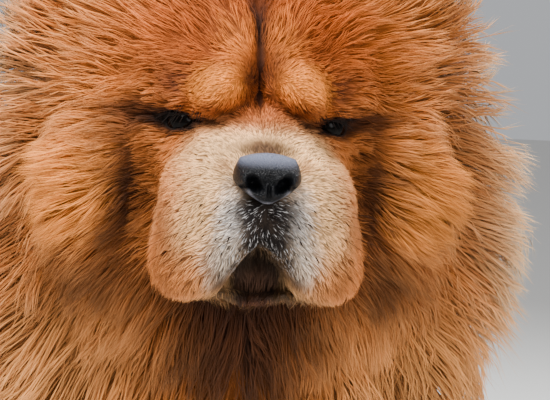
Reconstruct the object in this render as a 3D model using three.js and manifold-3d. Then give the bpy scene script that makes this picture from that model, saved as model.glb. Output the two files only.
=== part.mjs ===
// A chow chow standing square, life size, drawn out to the tips of its coat.
// Millimetres, +Z up, the dog facing -Y, the four feet on the floor at Z = 0.
import * as THREE from "three";
import { mergeVertices } from "three/addons/utils/BufferGeometryUtils.js";
import Module from "manifold-3d";

const wasm = await Module();
wasm.setup();

// Driving dimensions
const WITHERS = 540; // height of the back behind the neck
const BELLY = 240; // lowest hair of the chest and belly
const CHEST_Y = -232; // front of the trunk, inside the ruff
const BUTTOCKS_Y = 272;
const TRUNK_HALF_WIDTH = 148;
const RUFF_HALF_WIDTH = 188;
const RUFF_TOP = 676;
const EYE_HEIGHT = 560;
const EYE_SPREAD = 43; // middle of the head to the middle of an eye
const EYE_RADIUS = 11;
const EYE_Y = -335;
const NOSE_Y = -431; // tip of the nose
const NOSE_HEIGHT = 536;
const MUZZLE_HALF_WIDTH = 63;
const FLEW_HEIGHT = 460; // lowest hair of the upper lips
const LEG_SPREAD = 86; // middle of the dog to the middle of a foot
const FORE_Y = -150;
const HIND_Y = 196;
const PAW_HALF_WIDTH = 49;
const PAW_LEAD = 14; // middle of a foot ahead of the middle of its leg
const TOE_LEAD = 36; // middle of an outer toe ahead of the middle of the foot
const INNER_TOE_LEAD = 9; // the two inner toes ahead of the outer ones
const TOES = [-1.5, -0.5, 0.5, 1.5]; // the four toes, counted from the middle of the foot
const GAP = 0.3; // width of the thin cuts between pieces

const FORWARD = new THREE.Vector3(0, -1, 0);
const SIDEWAYS = new THREE.Vector3(1, 0, 0);
const UP = new THREE.Vector3(0, 0, 1);
const SIDES = [["l", 1], ["r", -1]];

// Colours of the coat and the bare parts
const COAT = { color: 0xa8622f, roughness: 0.95, metalness: 0 };
const RUFF = { color: 0xb9783f, roughness: 0.95, metalness: 0 };
const FACE = { color: 0x9a5628, roughness: 0.95, metalness: 0 };
const MUZZLE = { color: 0xd3a680, roughness: 0.95, metalness: 0 };
const PLUME = { color: 0xcaa078, roughness: 0.95, metalness: 0 };
const LEATHER = { color: 0x232328, roughness: 0.45, metalness: 0 };
const EYE = { color: 0x120b07, roughness: 0.08, metalness: 0 };
const CLAW = { color: 0x2b2522, roughness: 0.4, metalness: 0 };

// A smooth line through values that are evenly spaced along a form.
function profile(...values) {
  const line = new THREE.SplineCurve(values.map((v, i) => new THREE.Vector2(i, v)));
  return (t) => line.getPoint(Math.min(Math.max(t, 0), 1)).y;
}

function bare(geometry) {
  const copy = geometry.clone();
  copy.deleteAttribute("normal");
  copy.deleteAttribute("uv");
  return mergeVertices(copy, 1e-4);
}

function solid(geometry) {
  const merged = bare(geometry);
  return new wasm.Manifold(
    new wasm.Mesh({
      numProp: 3,
      vertProperties: merged.attributes.position.array,
      triVerts: new Uint32Array(merged.index.array),
    }),
  );
}

// A closed form drawn along a path: a sphere's latitude runs along the path and its longitude round it.
// ring(t) gives the ring's middle, its half width, its reach up and down, and its two directions.
// blunt under 1 makes full ends, and section(c, s, t) bends the round ring to another outline.
function form({ around, along, ring, blunt = 1, grow = 0, section = (c, s) => [c, s] }) {
  const geometry = bare(new THREE.SphereGeometry(1, around, along));
  const places = geometry.attributes.position;
  const d = new THREE.Vector3();
  for (let i = 0; i < places.count; i++) {
    d.fromBufferAttribute(places, i);
    const t = (1 - d.y) / 2;
    const girth = Math.hypot(d.x, d.z);
    const [c, s] = girth < 1e-6 ? [0, 0] : section(d.x / girth, d.z / girth, t);
    const reach = girth ** blunt;
    const { at, half, rise, fall, side = SIDEWAYS, up = UP } = ring(t);
    d.copy(at)
      .addScaledVector(side, (half + grow) * reach * c)
      .addScaledVector(up, ((s > 0 ? rise : fall) + grow) * reach * s);
    places.setXYZ(i, d.x, d.y, d.z);
  }
  const made = solid(geometry);
  if (made.volume() > 0) return made;
  const corners = geometry.index.array;
  for (let i = 0; i < corners.length; i += 3)
    [corners[i + 1], corners[i + 2]] = [corners[i + 2], corners[i + 1]];
  return solid(geometry);
}

// An egg of three radii at a place, turned about its own middle.
function egg({ at, radii, turn = [0, 0, 0], around = 10, along = 7, grow = 0 }) {
  const geometry = new THREE.SphereGeometry(1, around, along);
  geometry.scale(radii[0] + grow, radii[1] + grow, radii[2] + grow);
  geometry.applyMatrix4(new THREE.Matrix4().makeRotationFromEuler(new THREE.Euler(...turn)));
  geometry.translate(...at);
  return solid(geometry);
}

function block({ at, size, turn = [0, 0, 0], grow = 0 }) {
  const geometry = new THREE.BoxGeometry(...size.map((s) => s + 2 * grow));
  geometry.applyMatrix4(new THREE.Matrix4().makeRotationFromEuler(new THREE.Euler(...turn)));
  geometry.translate(...at);
  return solid(geometry);
}

const joined = (...solids) => solids.reduce((a, b) => a.add(b));
const lerp = THREE.MathUtils.lerp;
const bothSides = (make) => joined(make(-1), make(1));

// The barrel from the forechest to the buttocks, level along the back.
function trunk(grow) {
  const middle = 378;
  const back = profile(500, 545, 544, 532, 526, 530, 528);
  const under = profile(250, 236, 236, 240, 246, 238, 232);
  const half = profile(128, 150, 152, 146, 146, 156, 152);
  return form({
    around: 18,
    along: 9,
    blunt: 0.42,
    grow,
    ring: (t) => ({
      at: new THREE.Vector3(0, lerp(CHEST_Y, BUTTOCKS_Y, t), middle),
      half: (half(t) * TRUNK_HALF_WIDTH) / 150,
      rise: back(t) - middle + (WITHERS - 540),
      fall: middle - under(t),
    }),
  });
}

// The ruff: a mane that stands round the head and falls down the chest as a bib.
function ruff(grow) {
  const middleY = profile(-176, -192, -206, -218, -232, -240);
  const half = profile(120, 156, 181, 188, 178, 170);
  const front = profile(70, 96, 116, 116, 104, 90);
  const rear = profile(70, 100, 124, 132, 126, 96);
  return form({
    around: 18,
    along: 10,
    blunt: 0.36,
    grow,
    ring: (t) => ({
      at: new THREE.Vector3(0, middleY(t), lerp(BELLY + 4, RUFF_TOP, t)),
      half: (half(t) * RUFF_HALF_WIDTH) / 188,
      rise: front(t),
      fall: rear(t),
      up: FORWARD,
    }),
  });
}

// The broad flat skull, with the cheeks standing out beside the muzzle.
function skull(grow) {
  const dome = egg({ at: [0, -262, 566], radii: [118, 91, 98], around: 16, along: 10, grow });
  const cheek = (s) =>
    egg({ at: [s * 84, -291, 516], radii: [52, 43, 70], turn: [0, s * 0.2, 0], around: 10, grow });
  return dome.add(bothSides(cheek));
}

// The plump pads over the inner corners of the eyes, with the furrow between them.
function brows(grow) {
  const pad = (s) =>
    egg({
      at: [s * 20.5, -344, 584],
      radii: [18, 19, 26],
      turn: [0, s * -0.62, 0],
      around: 9,
      along: 6,
      grow,
    });
  const ridge = (s) =>
    egg({ at: [s * 22, -318, 616], radii: [23, 20, 40], turn: [-0.55, 0, 0], along: 6, grow });
  return joined(bothSides(pad), bothSides(ridge));
}

// The broad, deep muzzle: round over the bridge, and square and widest at the hanging upper lips.
function muzzle(grow) {
  const middle = profile(515, 514, 513, 513);
  const rise = profile(58, 56, 47, 38);
  const half = profile(61, 62, 61, 55);
  return form({
    around: 18,
    along: 8,
    blunt: 0.46,
    grow,
    ring: (t) => ({
      at: new THREE.Vector3(0, lerp(-316, NOSE_Y + 12, t), middle(t)),
      half: (half(t) * MUZZLE_HALF_WIDTH) / 62,
      rise: rise(t),
      fall: middle(t) - FLEW_HEIGHT,
    }),
    section: (c, s) => {
      if (s > 0) return [c * (1 - 0.06 * s), s];
      const square = 1 - 0.6 * Math.min(1, -3 * s);
      return [Math.sign(c) * Math.abs(c) ** square * (1 - 0.12 * s), s];
    },
  });
}

// The lower jaw, set back behind the upper lips.
function jaw(grow) {
  return egg({ at: [0, -356, 472], radii: [35, 42, 19], around: 12, along: 6, grow });
}

// The gap under the nose where the upper lips part.
function lipGap() {
  const outline = new THREE.Shape();
  outline.moveTo(0, 500);
  outline.quadraticCurveTo(13, 486, 25, 474);
  outline.lineTo(31, 440);
  outline.lineTo(-31, 440);
  outline.lineTo(-25, 474);
  outline.quadraticCurveTo(-13, 486, 0, 500);
  const geometry = new THREE.ExtrudeGeometry(outline, {
    depth: 60,
    bevelEnabled: false,
    curveSegments: 3,
  });
  geometry.rotateX(Math.PI / 2);
  geometry.translate(0, -382, 0);
  return solid(geometry);
}

// The nose leather: a rounded shield with two nostrils.
function nose(grow) {
  const pad = form({
    around: 14,
    along: 5,
    blunt: 0.55,
    grow,
    ring: (t) => ({
      at: new THREE.Vector3(0, lerp(NOSE_Y + 34, NOSE_Y, t), NOSE_HEIGHT),
      half: 19.4,
      rise: 14,
      fall: 15.5,
    }),
    section: (c, s) => [c * (s < 0 ? 1 + 0.42 * s : 1 - 0.1 * s), s],
  });
  if (grow > 0) return pad;
  const nostril = (s) =>
    egg({
      at: [s * 9.2, NOSE_Y + 3, NOSE_HEIGHT - 1],
      radii: [3.4, 9, 4.6],
      turn: [0, s * 0.5, s * -0.35],
      around: 8,
      along: 5,
    });
  return pad.subtract(bothSides(nostril));
}

function eye(side, grow) {
  const radius = EYE_RADIUS;
  return egg({
    at: [side * EYE_SPREAD, EYE_Y, EYE_HEIGHT],
    radii: [radius, radius, radius],
    around: 12,
    along: 8,
    grow,
  });
}

// The almond between the lids, open to the front.
function lidOpening(side) {
  return egg({
    at: [side * (EYE_SPREAD + 2), EYE_Y - 14, EYE_HEIGHT],
    radii: [13, 20, 7.5],
    turn: [0, side * 0.12, side * 0.18],
  });
}

// A small thick ear, set wide and tilted forward, cupped in front.
function ear(side) {
  const root = new THREE.Vector3(side * 84, -246, 612);
  const tip = new THREE.Vector3(side * 110, -262, 706);
  const across = new THREE.Vector3(1, side * -0.32, side * -0.26).normalize();
  const face = new THREE.Vector3().crossVectors(across, tip.clone().sub(root)).normalize();
  if (face.y > 0) face.negate();
  const half = profile(38, 38, 33, 25, 16);
  const flesh = form({
    around: 12,
    along: 8,
    blunt: 0.8,
    ring: (t) => ({
      at: root.clone().lerp(tip, t),
      half: half(t),
      rise: 13,
      fall: 15,
      side: across,
      up: face,
    }),
  });
  const cup = egg({
    at: root.clone().lerp(tip, 0.52).addScaledVector(face, 15).toArray(),
    radii: [15, 10, 31],
    turn: [-0.14, side * 0.27, side * -0.3],
  });
  return flesh.subtract(cup);
}

// A straight column from the elbow to the foot, feathered behind.
function foreleg(side, grow) {
  const half = profile(46, 45, 50, 58, 64);
  const rear = profile(46, 52, 64, 72, 72);
  return form({
    around: 12,
    along: 6,
    blunt: 0.3,
    grow,
    ring: (t) => ({
      at: new THREE.Vector3(side * LEG_SPREAD, FORE_Y + 4 * t, lerp(22, 330, t)),
      half: half(t),
      rise: 47 + 12 * t,
      fall: rear(t),
      up: FORWARD,
    }),
  });
}

// The thigh with its breeches, and the straight upright hock under it.
function hindleg(side, grow) {
  const halfHock = profile(46, 45, 53, 62);
  const rearHock = profile(46, 52, 64, 74);
  const hock = form({
    around: 12,
    along: 6,
    blunt: 0.3,
    grow,
    ring: (t) => ({
      at: new THREE.Vector3(side * LEG_SPREAD, HIND_Y + 6, lerp(22, 300, t)),
      half: halfHock(t),
      rise: 48 + 30 * t,
      fall: rearHock(t),
      up: FORWARD,
    }),
  });
  const thigh = egg({
    at: [side * 96, 178, 340],
    radii: [60, 98, 132],
    turn: [0.16, 0, 0],
    around: 14,
    along: 10,
    grow,
  });
  const breeches = egg({ at: [side * 66, 232, 318], radii: [66, 52, 104], grow });
  return joined(hock, thigh, breeches);
}

// How far forward the middle of a toe is.
function toeMiddle(legMiddle, k) {
  return legMiddle - PAW_LEAD - TOE_LEAD - (Math.abs(k) < 1 ? INNER_TOE_LEAD : 0);
}

// A round cat-like foot with four toes, flat underneath.
function paw(side, y, grow) {
  const middle = [side * LEG_SPREAD, y - PAW_LEAD];
  const pad = egg({
    at: [...middle, 20],
    radii: [PAW_HALF_WIDTH, 58, 35],
    along: 6,
    grow,
  });
  const toes = TOES.map((k) =>
    egg({
      at: [middle[0] + k * 21.5, toeMiddle(y, k), 16],
      radii: [13.5, 24, 19],
      turn: [0, 0, k * -0.1],
      around: 6,
      along: 4,
      grow,
    }),
  );
  return joined(pad, ...toes);
}

// A blunt claw, rooted in the front of its toe and bent down a little.
function claw(side, y, k) {
  const root = new THREE.Vector3(side * LEG_SPREAD + k * 22.5, toeMiddle(y, k) - 12, 13);
  return form({
    around: 5,
    along: 3,
    blunt: 0.8,
    ring: (t) => ({
      at: root.clone().add(new THREE.Vector3(k * 0.8 * t, -18 * t, -6 * t * t)),
      half: lerp(4.4, 1.6, t),
      rise: lerp(4.8, 1.8, t),
      fall: lerp(4.4, 1.6, t),
    }),
  });
}

// The plumed tail: a short root, a full bend, and the end laid on the back.
function tail(grow) {
  const path = new THREE.CatmullRomCurve3([
    new THREE.Vector3(0, 226, 446),
    new THREE.Vector3(0, 262, 518),
    new THREE.Vector3(0, 232, 572),
    new THREE.Vector3(0, 158, 582),
    new THREE.Vector3(0, 78, 570),
    new THREE.Vector3(0, 20, 552),
  ]);
  const half = profile(46, 60, 78, 92, 86, 60);
  const thick = profile(40, 48, 56, 60, 54, 38);
  const underBend = egg({ at: [0, 186, 548], radii: [62, 62, 48], grow });
  const plume = form({
    around: 14,
    along: 12,
    blunt: 0.5,
    grow,
    ring: (t) => {
      const along = path.getTangent(t);
      return {
        at: path.getPoint(t),
        half: half(t),
        rise: thick(t),
        fall: thick(t),
        up: new THREE.Vector3().crossVectors(SIDEWAYS, along).normalize(),
      };
    },
  });
  return plume.add(underBend);
}

// The whole coated body, less the muzzle, brows, ears and tail.
function torso(grow) {
  return joined(
    trunk(grow),
    ruff(grow),
    skull(grow),
    bothSides((s) => foreleg(s, grow)),
    bothSides((s) => hindleg(s, grow)),
    bothSides((s) => paw(s, FORE_Y, grow)),
    bothSides((s) => paw(s, HIND_Y, grow)),
  );
}

const underFloor = block({ at: [0, 0, -100], size: [1200, 1600, 200] });
const eyes = { l: eye(1, 0), r: eye(-1, 0) };
const sockets = joined(eye(1, GAP), eye(-1, GAP), lidOpening(1), lidOpening(-1));
const grownTorso = torso(GAP);
const noseRoom = nose(GAP);
const jawRoom = jaw(GAP);
const muzzleRoom = muzzle(GAP);

const body = torso(0)
  .subtract(muzzleRoom)
  .subtract(jawRoom)
  .add(brows(0))
  .subtract(sockets)
  .subtract(underFloor);

const lips = muzzle(0)
  .subtract(brows(GAP))
  .subtract(lipGap())
  .subtract(jawRoom)
  .subtract(noseRoom)
  .subtract(sockets);
const lowerJaw = jaw(0);
const plume = tail(0).subtract(grownTorso);

// Each cut takes its piece out of what is left of the body; the trunk is what stays.
const LEG_CUT = BELLY - 4;
const PAW_CUT = 54;
const legCut = (side, y) => ({
  at: [side * 130, y, LEG_CUT / 2 - 20],
  size: [240, 240, LEG_CUT + 40],
});
const pawCut = (side, y) => ({ at: [side * 130, y, PAW_CUT / 2 - 20], size: [240, 240, PAW_CUT + 40] });
const CUTS = {
  head: { at: [0, -416, 626], size: [600, 300, 360], turn: [-0.3, 0, 0] },
  neck: { at: [0, -300, 640], size: [600, 330, 420], turn: [-0.3, 0, 0] },
  forepaw_l: pawCut(1, FORE_Y),
  forepaw_r: pawCut(-1, FORE_Y),
  hindpaw_l: pawCut(1, HIND_Y),
  hindpaw_r: pawCut(-1, HIND_Y),
  foreleg_l: legCut(1, FORE_Y),
  foreleg_r: legCut(-1, FORE_Y),
  hindleg_l: legCut(1, HIND_Y),
  hindleg_r: legCut(-1, HIND_Y),
  shoulder_l: { at: [172, -170, 330], size: [200, 190, 240] },
  shoulder_r: { at: [-172, -170, 330], size: [200, 190, 240] },
  thigh_l: { at: [164, 205, 330], size: [200, 230, 240] },
  thigh_r: { at: [-164, 205, 330], size: [200, 230, 240] },
  chest: { at: [0, -300, 330], size: [600, 380, 400] },
  rump: { at: [0, 240, 400], size: [600, 260, 500] },
};

const pieces = { muzzle: lips, lower_jaw: lowerJaw, nose: nose(0), eye_l: eyes.l, eye_r: eyes.r };
let left = body;
for (const [name, cut] of Object.entries(CUTS)) {
  pieces[name] = left.intersect(block(cut));
  left = left.subtract(block({ ...cut, grow: GAP }));
}
pieces.trunk = left;
for (const [letter, side] of SIDES) pieces["ear_" + letter] = ear(side).subtract(grownTorso);

// The tail in three lengths: the root, the bend and the end that lies on the back.
const TAIL_CUTS = {
  tail_root: { at: [0, 240, 380], size: [400, 300, 300], turn: [0.3, 0, 0] },
  tail_bend: { at: [0, 330, 640], size: [400, 260, 420], turn: [0.35, 0, 0] },
};
let restOfTail = plume;
for (const [name, cut] of Object.entries(TAIL_CUTS)) {
  pieces[name] = restOfTail.intersect(block(cut));
  restOfTail = restOfTail.subtract(block({ ...cut, grow: GAP }));
}
pieces.tail_end = restOfTail;

for (const [foot, y] of [["fore", FORE_Y], ["hind", HIND_Y]])
  for (const [letter, side] of SIDES)
    TOES.forEach((k, i) => {
      pieces[`claw_${foot}_${letter}${i + 1}`] = claw(side, y, k).subtract(grownTorso);
    });

// What each piece is finished in, by the start of its name
const FINISHES = {
  muzzle: MUZZLE,
  lower_jaw: FACE,
  head: FACE,
  neck: RUFF,
  chest: RUFF,
  nose: LEATHER,
  eye: EYE,
  claw: CLAW,
  tail: PLUME,
};

const dog = new THREE.Group();
dog.name = "chow_chow";
for (const [name, made] of Object.entries(pieces)) {
  const { numProp, vertProperties, triVerts } = made.getMesh();
  const geometry = new THREE.BufferGeometry();
  geometry.setAttribute("position", new THREE.BufferAttribute(vertProperties, numProp));
  geometry.setIndex(new THREE.BufferAttribute(triVerts, 1));
  geometry.computeVertexNormals();
  const finish = Object.keys(FINISHES).find((start) => name.startsWith(start));
  const mesh = new THREE.Mesh(geometry, new THREE.MeshStandardMaterial(FINISHES[finish] ?? COAT));
  mesh.name = name;
  dog.add(mesh);
}

// The origin is on the floor, under the middle of the dog's length.
const outline = new THREE.Box3().setFromObject(dog);
dog.position.set(0, -(outline.min.y + outline.max.y) / 2, -outline.min.z);

export default dog;
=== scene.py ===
import math

import bmesh
import bpy
import numpy as np
from mathutils import Matrix, Vector, kdtree


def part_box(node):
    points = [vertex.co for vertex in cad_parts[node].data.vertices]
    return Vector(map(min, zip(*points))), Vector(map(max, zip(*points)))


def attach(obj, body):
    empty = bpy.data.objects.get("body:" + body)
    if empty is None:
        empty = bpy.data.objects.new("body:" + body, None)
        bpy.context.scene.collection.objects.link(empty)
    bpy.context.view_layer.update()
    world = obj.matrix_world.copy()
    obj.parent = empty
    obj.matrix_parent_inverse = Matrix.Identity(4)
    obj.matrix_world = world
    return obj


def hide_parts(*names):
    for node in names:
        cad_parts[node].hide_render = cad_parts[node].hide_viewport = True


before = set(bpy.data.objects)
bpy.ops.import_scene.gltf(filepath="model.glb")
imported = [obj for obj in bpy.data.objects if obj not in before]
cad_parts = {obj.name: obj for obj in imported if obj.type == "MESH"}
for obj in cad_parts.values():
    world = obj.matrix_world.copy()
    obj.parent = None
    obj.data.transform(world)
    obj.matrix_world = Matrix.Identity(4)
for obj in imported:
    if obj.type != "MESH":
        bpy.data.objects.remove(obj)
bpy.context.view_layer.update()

# The camera of a portrait: a long lens 1.5 m from the nose, a little above it and to the dog's
# right, and tipped by a few degrees. The nose falls on its own pixel of the 550 x 400 picture.
PICTURE = (550, 400)  # pixels
NOSE_PIXEL = (270, 182)
PIXELS_PER_MM = 1.77  # at the nose
SENSOR_WIDTH = 36.0
CAMERA_DISTANCE = 1.5
CAMERA_TURN = math.radians(-6.0)
CAMERA_RISE = math.radians(6.2)
CAMERA_ROLL = math.radians(3.0)


def add_to_scene(name, data):
    made = bpy.data.objects.new(name, data)
    bpy.context.scene.collection.objects.link(made)
    return made


nose_low, nose_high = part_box("nose")
nose_tip = Vector((0.0, nose_low.y, (nose_low.z + nose_high.z) / 2))
camera_data = bpy.data.cameras.new("portrait_camera")
camera_data.sensor_width = SENSOR_WIDTH
camera_data.lens = SENSOR_WIDTH * PIXELS_PER_MM * CAMERA_DISTANCE * 1000 / PICTURE[0]
camera_data.shift_x = -(NOSE_PIXEL[0] - PICTURE[0] / 2) / PICTURE[0]
camera_data.shift_y = (NOSE_PIXEL[1] - PICTURE[1] / 2) / PICTURE[0]
camera = add_to_scene("portrait_camera", camera_data)
from_nose = Vector((
    math.sin(CAMERA_TURN) * math.cos(CAMERA_RISE),
    -math.cos(CAMERA_TURN) * math.cos(CAMERA_RISE),
    math.sin(CAMERA_RISE),
))
facing = (-from_nose).to_track_quat("-Z", "Y").to_matrix().to_4x4()
camera.matrix_world = (
    Matrix.Translation(nose_tip + from_nose * CAMERA_DISTANCE)
    @ facing
    @ Matrix.Rotation(CAMERA_ROLL, 4, "Z")
)
bpy.context.scene.camera = camera


# The skin: one closed surface under the whole coat. It is grown from the solid of each part of the
# body, melted together so that no seam is left, then drawn in by the depth of the coat.
def head_place(x, back, z):
    """A place given in mm: across from the middle, back from the nose's tip, up from the floor."""
    return (x / 1000, nose_tip.y + back / 1000, z / 1000)


# How the coat lies, as a groomer sees it: where, which way the hair runs, its length and its
# thickness in mm, how far it stands up in degrees, and how densely it covers.
GROOMING = [
    # muzzle, from the bridge to the hanging lips and the chin
    ((0, 30, 556), (0, 1, 0.5), 5, 0.55, 14, 5),
    ((0, 62, 572), (0, 1, 0.5), 6, 0.55, 16, 5),
    ((28, 50, 562), (0.7, 1, 0.1), 6, 0.55, 16, 5),
    ((52, 55, 535), (0.6, 0.8, -0.4), 10, 0.55, 40, 8),
    ((62, 60, 500), (0.4, 0.5, -0.9), 14, 0.55, 46, 9),
    ((20, 14, 512), (0.9, 0.3, -0.5), 5, 0.55, 15, 5),
    ((42, 22, 498), (0.8, 0.5, -0.6), 7, 0.5, 20, 6),
    ((48, 28, 472), (0.6, 0.3, -1), 12, 0.55, 32, 8),
    ((30, 20, 465), (0.2, 0.1, -1), 8, 0.6, 18, 5),
    ((0, 60, 460), (0, 0.4, -1), 10, 0.7, 20, 5),
    ((8, 26, 486), (0.1, 0.1, -1), 4, 0.6, 12, 4),
    ((0, 30, 472), (0, 0.1, -1), 7, 0.7, 14, 5),
    # brow pads, the furrow between them and the lids
    ((18, 68, 587), (0.8, 0.1, -0.5), 4, 0.45, 13, 6),
    ((31, 70, 576), (0.9, 0.3, -0.3), 4, 0.45, 13, 6),
    ((12, 76, 600), (0.7, 0.2, 0.5), 6, 0.5, 15, 6),
    ((5, 84, 600), (0.6, 0.3, 0.9), 9, 0.6, 18, 6),
    ((0, 92, 622), (0.04, 0.25, 1), 16, 0.7, 12, 9),
    ((24, 90, 612), (0.5, 0.3, 1), 18, 0.6, 22, 7),
    ((44, 86, 576), (1, 0.2, 0.35), 10, 0.65, 16, 6),
    ((46, 84, 546), (0.9, 0.7, -0.5), 8, 0.6, 14, 6),
    ((60, 92, 560), (1, 0.4, 0), 14, 0.7, 18, 6),
    # forehead and skull
    ((10, 100, 640), (0.6, 0.3, 0.9), 36, 0.7, 25, 9),
    ((48, 98, 620), (0.9, 0.3, 0.7), 34, 0.66, 26, 9),
    ((85, 115, 600), (1, 0.4, 0.35), 40, 0.7, 29, 9),
    ((60, 160, 662), (0.6, 1, 0.6), 36, 0.82, 22, 9),
    ((0, 160, 664), (0, 1, 0.5), 36, 0.82, 20, 9),
    # cheeks
    ((72, 100, 545), (1, 0.3, -0.1), 25, 0.61, 21, 9),
    ((74, 104, 500), (1, 0.2, -0.45), 30, 0.66, 23, 9),
    ((98, 98, 530), (1, 0.2, -0.2), 44, 0.7, 28, 9),
    ((98, 102, 490), (0.9, 0.1, -0.8), 46, 0.74, 28, 9),
    ((66, 108, 462), (0.6, 0, -0.9), 34, 0.74, 25, 9),
    ((30, 110, 440), (0.2, 0, -1), 44, 0.9, 24, 9),
    # ruff and bib
    ((125, 165, 600), (1, 0.35, 0.25), 66, 1.3, 34, 9),
    ((140, 170, 540), (1, 0.3, -0.15), 76, 1.3, 37, 9),
    ((145, 170, 470), (0.9, 0.2, -0.5), 80, 1.3, 36, 9),
    ((172, 215, 510), (0.9, 0.6, -0.3), 80, 1.5, 35, 8),
    ((118, 150, 410), (0.7, 0.1, -0.9), 74, 1.4, 32, 9),
    ((50, 130, 390), (0.3, 0, -1), 68, 1.5, 27, 9),
    ((0, 150, 330), (0, 0.1, -1), 66, 1.8, 26, 9),
    ((110, 220, 660), (0.8, 0.7, 0.7), 60, 1.7, 33, 8),
    ((0, 230, 676), (0, 1, 0.4), 56, 1.7, 30, 8),
    ((90, 330, 600), (0.5, 1, -0.2), 62, 2.2, 32, 7),
    ((0, 330, 590), (0, 1, -0.2), 56, 2.2, 30, 7),
    # shoulders, back, sides and belly
    ((150, 300, 400), (0.2, 0.8, -0.8), 46, 2.4, 34, 7),
    ((0, 450, 530), (0, 1, -0.1), 40, 2.4, 33, 7),
    ((145, 430, 420), (0.1, 1, -0.4), 42, 2.4, 35, 7),
    ((145, 540, 330), (0.1, 0.9, -0.6), 44, 2.4, 34, 7),
    ((60, 430, 245), (0.1, 0.8, -0.5), 40, 2.6, 28, 7),
    ((60, 560, 250), (0.1, 0.8, -0.5), 40, 2.6, 28, 7),
    ((0, 640, 525), (0.1, 1, -0.1), 42, 2.4, 34, 7),
    ((150, 620, 380), (0.2, 0.7, -0.8), 44, 2.4, 36, 7),
    ((90, 700, 330), (0.1, 0.6, -1), 58, 2.3, 32, 7),
    # legs and feet
    ((84, 240, 200), (0.1, 0.1, -1), 30, 1.9, 28, 7),
    ((84, 340, 200), (0.1, 0.6, -1), 42, 2.1, 32, 7),
    ((84, 270, 100), (0.1, 0.1, -1), 24, 1.7, 26, 7),
    ((84, 590, 200), (0.1, 0.1, -1), 30, 1.9, 28, 7),
    ((84, 690, 190), (0.1, 0.5, -1), 40, 2.1, 32, 7),
    ((84, 630, 100), (0.1, 0.1, -1), 24, 1.7, 26, 7),
    ((84, 225, 30), (0, -1, -0.5), 10, 1.3, 16, 6),
    ((84, 280, 30), (0, -0.5, -0.8), 15, 1.4, 18, 6),
    ((84, 572, 30), (0, -1, -0.5), 10, 1.3, 16, 6),
    ((84, 630, 30), (0, -0.5, -0.8), 15, 1.4, 18, 6),
    # the plume
    ((0, 700, 490), (0, 0.3, 1), 56, 2, 28, 7),
    ((50, 715, 540), (0.4, 0.1, 1), 66, 2, 30, 7),
    ((0, 690, 630), (0, -1, 0.7), 62, 2, 28, 7),
    ((80, 600, 585), (0.7, -0.8, -0.25), 74, 2, 30, 7),
    ((0, 590, 640), (0, -1, 0), 60, 2, 26, 7),
    ((60, 490, 570), (0.4, -0.9, -0.4), 70, 2, 28, 7),
    ((0, 460, 570), (0, -1, -0.5), 60, 2, 26, 7),
    # ears
    ((98, 182, 660), (0.2, 0.1, 1), 12, 0.8, 18, 7),
    ((112, 172, 700), (0.2, 0, 1), 9, 0.7, 14, 7),
]
GUIDE_NEAREST = 0.008  # m, a nearer point counts as this far from a guide
SPREAD_SHARE = 0.75  # how far the guides reach, as a share of the gap to the nearest one
GUIDE_SPREAD = (0.010, 0.030)  # m, the least and the most of that reach
POINTS_AT_ONCE = 20000
COAT_PRESS = 0.93  # the coat's depth, as a share of the height of a straight hair


def groom(points):
    """The lie, length, width, rise and cover of the coat at each point, blended from the guides."""
    folded = points.copy()
    mirror = np.sign(folded[:, 0])
    mirror[mirror == 0] = 1
    folded[:, 0] = abs(folded[:, 0])
    places = np.array([head_place(*guide[0]) for guide in GROOMING])
    values = np.array([(*guide[1], *guide[2:]) for guide in GROOMING], float)
    values[:, :3] /= np.linalg.norm(values[:, :3], axis=1)[:, None]
    blended = np.empty((len(points), values.shape[1]))
    for start in range(0, len(points), POINTS_AT_ONCE):
        part = folded[start : start + POINTS_AT_ONCE]
        gap = np.linalg.norm(part[:, None] - places[None], axis=2)
        nearest = np.maximum(gap.min(axis=1), GUIDE_NEAREST)[:, None]
        spread = np.clip(nearest * SPREAD_SHARE, *GUIDE_SPREAD)
        weight = np.exp(-((gap / spread) ** 2) / 2) + 1e-12
        blended[start : start + POINTS_AT_ONCE] = (weight @ values) / weight.sum(axis=1)[:, None]
    lie = blended[:, :3]
    lie[:, 0] *= mirror
    length, width, rise, cover = blended[:, 3:].T
    return lie, length / 1000, width / 1000, np.radians(rise), cover


SMALL_PARTS = ("nose", "eye", "claw")
CUT_CLOSING = 0.0008  # m, the swelling that closes the thin cuts between the solids
LID_BULGE = 0.0152  # m, radius of the flesh that closes each socket before the lids are opened
MELTED_FACE = 0.0045  # m, size of a face of the skin
EVENED_FACE = 0.0046
flesh = [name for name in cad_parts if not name.startswith(SMALL_PARTS)]
melt = bmesh.new()
for name in flesh:
    melt.from_mesh(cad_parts[name].data)
bmesh.ops.remove_doubles(melt, verts=melt.verts, dist=1e-6)
for vert in melt.verts:
    vert.co += vert.normal * CUT_CLOSING
eye_balls = {}
for name in ("eye_l", "eye_r"):
    low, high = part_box(name)
    eye_balls[name] = ((low + high) / 2, (high.x - low.x) / 2)
    at_eye = Matrix.Translation(eye_balls[name][0])
    bmesh.ops.create_icosphere(melt, subdivisions=3, radius=LID_BULGE, matrix=at_eye)
skin_mesh = bpy.data.meshes.new("skin")
melt.to_mesh(skin_mesh)
melt.free()
skin = add_to_scene("skin", skin_mesh)


def melt_together(piece, face_size):
    """Makes the piece one closed surface of even faces."""
    melting = piece.modifiers.new("melting", "REMESH")
    melting.mode = "VOXEL"
    melting.voxel_size = face_size
    shape = piece.evaluated_get(bpy.context.evaluated_depsgraph_get())
    made = bpy.data.meshes.new_from_object(shape)
    piece.modifiers.clear()
    old = piece.data
    piece.data = made
    made.name = old.name
    bpy.data.meshes.remove(old)


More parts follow.
